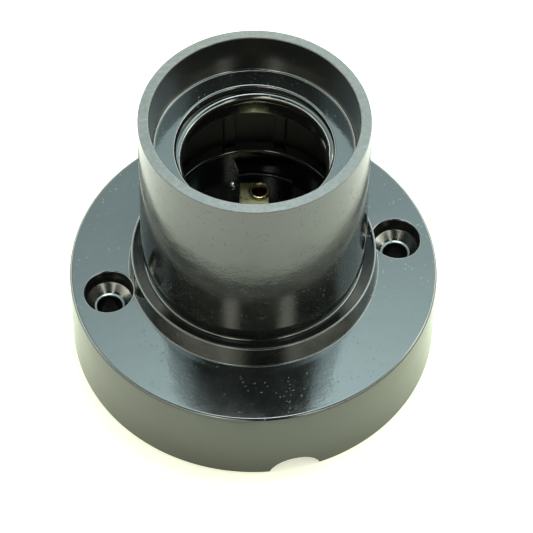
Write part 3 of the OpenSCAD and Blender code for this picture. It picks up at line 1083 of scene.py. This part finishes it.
# %% Materials of the mouldings and of the construction's own solids
paint(base, base_black)
paint(shell, shell_black)
for node in ("line_terminal", "neutral_terminal"):
    paint(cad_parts[node], plate_brass)
for node in ("line_clamp", "neutral_clamp", "line_screw", "neutral_screw"):
    paint(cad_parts[node], plated_steel)
print("solids that keep their shape: 6")

# %% [markdown]
# ## Putting the pieces on the frame
#
# Each piece is told which body of the frame it moves with, and the construction node that it stands for is hidden.
# Nothing is placed by hand: the pieces were made where the frame has them.

# %% Ride and replace
for piece, body, nodes, slot in (
    (base, "base", ("base",), "moulding"),
    (shell, "shell", ("shell",), "moulding"),
    (centre_contact, "centre_contact", ("centre_contact",), "contact_brass"),
    (side_contact, "side_contact", ("side_contact",), "contact_brass"),
    (centre_rivet, "base", ("centre_rivet",), "rivet_brass"),
    (side_rivet, "base", ("side_rivet",), "rivet_brass"),
    (line_pin, "base", ("line_pin",), "plated_steel"),
    (neutral_pin, "base", ("neutral_pin",), "plated_steel"),
):
    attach(piece, body)
    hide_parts(*nodes)
for piece, body in ((ribs, "shell"), (lamp_thread, "shell"), (neck_thread, "base")):
    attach(piece, body)

# %% [markdown]
# ## Floor, light and surroundings
#
# Gloss black shows its surroundings more than itself, so the surroundings matter as much as the finish. The holder
# stands on a plain pale sheet. To the camera, the sheet has a little glow of its own, so that it stays nearly white.
# In reflections a painted shadow darkens a thin ring round the foot and a painted glow brightens the sheet further
# out, as in the photo, where the skirt ends in a dark line and the tube's lower part is darker than its middle. Matt
# surfaces see only the paper.
#
# The room faces the side that the photo was taken from. That is a fixed direction, and it stays when the camera moves.

# %% Floor
room_turn = camera_turn


def room_axes(tree, vector):
    """A vector's axes in the room: X to the right, Y to the back and Z up."""
    node = add(tree, "ShaderNodeMapping")
    wire(tree, vector, node.inputs["Vector"])
    node.inputs["Rotation"].default_value = (0.0, 0.0, room_turn)
    return axes_of(tree, node.outputs[0])


def paper_with_painted_shadow(tree, where, axes, out):
    """Slightly uneven paper, with a cream painted shadow near the holder's front."""
    sheet = blend_colours(tree, noise(tree, where, 40.0, 2.0), (0.90, 0.91, 0.80), (0.92, 0.93, 0.83))
    # The cream near the holder's front is a painted shadow.
    in_front = ramp(tree, axes["Y"], -0.01, 0.02, 1.0, 0.3)
    return blend_colours(tree, times(tree, fade(tree, out, 55, 40), in_front), sheet, (0.91, 0.92, 0.72))


def floor_material():
    """White paper: lit as any sheet, with a glow of its own for the camera, and in reflections a painted glow and a
    painted shadow ring round the foot.
    """
    material, tree, shader, where = new_material("paper")
    path = add(tree, "ShaderNodeLightPath").outputs
    length = add(tree, "ShaderNodeVectorMath", operation="LENGTH")
    wire(tree, where, length.inputs[0])
    out = length.outputs["Value"]
    axes = room_axes(tree, where)
    sheet = paper_with_painted_shadow(tree, where, axes, out)

    # In glossy rays alone the sheet glows, more further out, towards the back and to the left: painted light.
    far = times(tree, fade(tree, out, 44, 64), 0.35)
    back = times(tree, fade(tree, axes["Y"], -20, 30), 0.25)
    left = ramp(tree, axes["X"], -0.035, 0.0, 0.27, 0.17)
    painted_reflection_glow = times(tree, plus(tree, plus(tree, far, back), left), path["Is Glossy Ray"])
    seen_glow = times(tree, path["Is Camera Ray"], ramp(tree, out, 0.034, 0.050, 0.40, 0.5))
    # In glossy rays alone a thin ring round the foot turns dark grey and loses its glow: a painted shadow.
    ring = minus(tree, fade(tree, out, 44.0, 45.0), fade(tree, out, 48.5, 51.5))
    ring = times(tree, ring, path["Is Glossy Ray"])
    glow = times(tree, plus(tree, painted_reflection_glow, seen_glow), minus(tree, 1.0, ring))

    shader.inputs["Roughness"].default_value = 0.9
    shader.inputs["Specular IOR Level"].default_value = 0.0
    shader.inputs["Emission Color"].default_value = (1.0, 1.0, 0.96, 1.0)
    wire(tree, blend_colours(tree, ring, sheet, (0.12, 0.12, 0.12)), shader.inputs["Base Color"])
    wire(tree, glow, shader.inputs["Emission Strength"])
    return material


corner = 1.5
corners = [(-corner, -corner, 0), (corner, -corner, 0), (corner, corner, 0), (-corner, corner, 0)]
paper = bpy.data.meshes.new("paper")
paper.from_pydata(corners, [], [(0, 1, 2, 3)])
paper_sheet = new_object("paper", paper)
paint(paper_sheet, floor_material())
print("floor:", 2 * corner, "m square")

# %% [markdown]
# Three lamps light the scene: a long low panel in front to the left, another to the right, and a small one high up
# behind. They are far enough away for soft, even light, and each one's power follows from its size and brightness.

# %% Lamps
lamp_distance = 1.3
panel_white = (0.97, 1.0, 0.76)


def soft_panel(name, azimuth, elevation, wide, high, radiance, colour):
    """A rectangular lamp that faces the holder; azimuth counts from the room's front, to the right."""
    side = math.radians(azimuth) - room_turn
    rise = math.radians(elevation)
    towards = Vector((math.sin(side) * math.cos(rise), -math.cos(side) * math.cos(rise), math.sin(rise)))
    place = towards * lamp_distance
    data = bpy.data.lights.new(name, "AREA")
    data.shape = "RECTANGLE"
    data.size = 2 * lamp_distance * math.tan(math.radians(wide) / 2)
    data.size_y = 2 * lamp_distance * math.tan(math.radians(high) / 2)
    data.energy = radiance * math.pi * data.size * data.size_y
    data.color = colour
    lamp = bpy.data.objects.new(name, data)
    lamp.location = place
    lamp.rotation_mode = "QUATERNION"
    lamp.rotation_quaternion = (-place).to_track_quat("-Z", "Y")
    bpy.context.scene.collection.objects.link(lamp)
    print(f"{name}: {data.size:.2f} by {data.size_y:.2f} m")


soft_panel("panel_left", -46, 30, 80, 14, 4.0, panel_white)
soft_panel("panel_right", 66, 30, 76, 14, 4.0, panel_white)
soft_panel("overhead", 180, 79, 14, 14, 8.0, (1.0, 1.0, 1.0))

# %% [markdown]
# The room itself is in the world's shader. Its brightness follows the direction of a ray: it grows towards the
# ceiling and towards the right, and it is nearly dark on the photographer's side, which leaves the flange's front
# black. The camera sees plain white instead, and matt surfaces get only a share of it, so that a colour renders as it
# is written.

# %% Room
world = bpy.data.worlds.new("room")
bpy.context.scene.world = world
world.use_nodes = True
room = world.node_tree
backdrop = room.nodes["Background"]
axes = room_axes(room, add(room, "ShaderNodeTexCoord").outputs["Generated"])
path = add(room, "ShaderNodeLightPath").outputs
seen = path["Is Camera Ray"]


def matt_share(share):
    """The share that matt surfaces get, and 1 for every other ray."""
    return plus(room, times(room, path["Is Diffuse Ray"], share - 1.0), 1.0)


up = scalar(room, "MAXIMUM", axes["Z"], 0.0)
ceiling = plus(room, times(room, scalar(room, "POWER", up, 6.0), 4.0), 1.3)
sideways = ramp(room, axes["X"], -0.5, 0.5, 0.9, 1.75, "LINEAR")
behind = ramp(room, axes["Y"], -0.10, 0.10, 0.02, 1.0)
level = times(room, ceiling, sideways, behind, matt_share(0.34))
wire(room, blend_colours(room, seen, (0.74, 0.99, 1.0), (1.0, 1.0, 1.0)), backdrop.inputs["Color"])
wire(room, plus(room, level, times(room, seen, minus(room, 1.0, level))), backdrop.inputs["Strength"])
print("nodes in the room:", len(room.nodes))

# %% [markdown]
# Soft windows are bright patches of the room with faded edges. Two in front give the two pale stripes low on the tube,
# a low band at the sides and behind lights the edges of the skirt and the collar, and two long ones stand round the
# panels, so that the flange and the skirt mirror a soft edge and not the hard one of a lamp.

# %% Soft windows of the room
ray_azimuth = scalar(room, "ARCTAN2", axes["X"], times(room, axes["Y"], -1.0))
ray_rise = scalar(room, "ARCSINE", axes["Z"])


def soft_span(value, middle, size, soft):
    """1 within an angle, fading to 0 at its two ends; all in degrees."""
    off = scalar(room, "ABSOLUTE", minus(room, value, math.radians(middle)))
    return ramp(room, off, math.radians(size / 2 - soft), math.radians(size / 2 + soft), 1.0, 0.0)


def soft_band(elevation, high, soft, radiance):
    """A bright band all round the room, between two heights."""
    return times(room, soft_span(ray_rise, elevation, high, soft), radiance)


def soft_window(azimuth, elevation, wide, high, soft, radiance):
    """A bright patch of the room whose edges fade; azimuth counts from the room's front."""
    band = soft_band(elevation, high, soft, radiance)
    return times(room, soft_span(ray_azimuth, azimuth, wide, soft), band)


stripes = plus(room, soft_window(-21, 43, 12, 14, 5, 9.0), soft_window(32, 43, 14, 14, 5, 8.0))
beside = ramp(room, scalar(room, "ABSOLUTE", ray_azimuth), math.radians(75), math.radians(90))
low_band = times(room, beside, soft_band(20, 18, 5, 7.0))
round_panels = plus(room, soft_window(-46, 31, 80, 12, 4, 3.5), soft_window(66, 31, 76, 12, 4, 3.5))
windows = plus(room, stripes, plus(room, low_band, round_panels))
unseen = minus(room, 1.0, seen)
window_light = add(room, "ShaderNodeBackground")
window_light.inputs["Color"].default_value = (0.97, 1.0, 0.84, 1.0)
wire(room, times(room, windows, times(room, matt_share(0.08), unseen)), window_light.inputs["Strength"])
together = add(room, "ShaderNodeAddShader")
wire(room, backdrop.outputs[0], together.inputs[0])
wire(room, window_light.outputs[0], together.inputs[1])
wire(room, together.outputs[0], room.nodes["World Output"].inputs["Surface"])
bpy.context.scene.view_settings.view_transform = "Standard"
print("nodes in the room with its windows:", len(room.nodes))
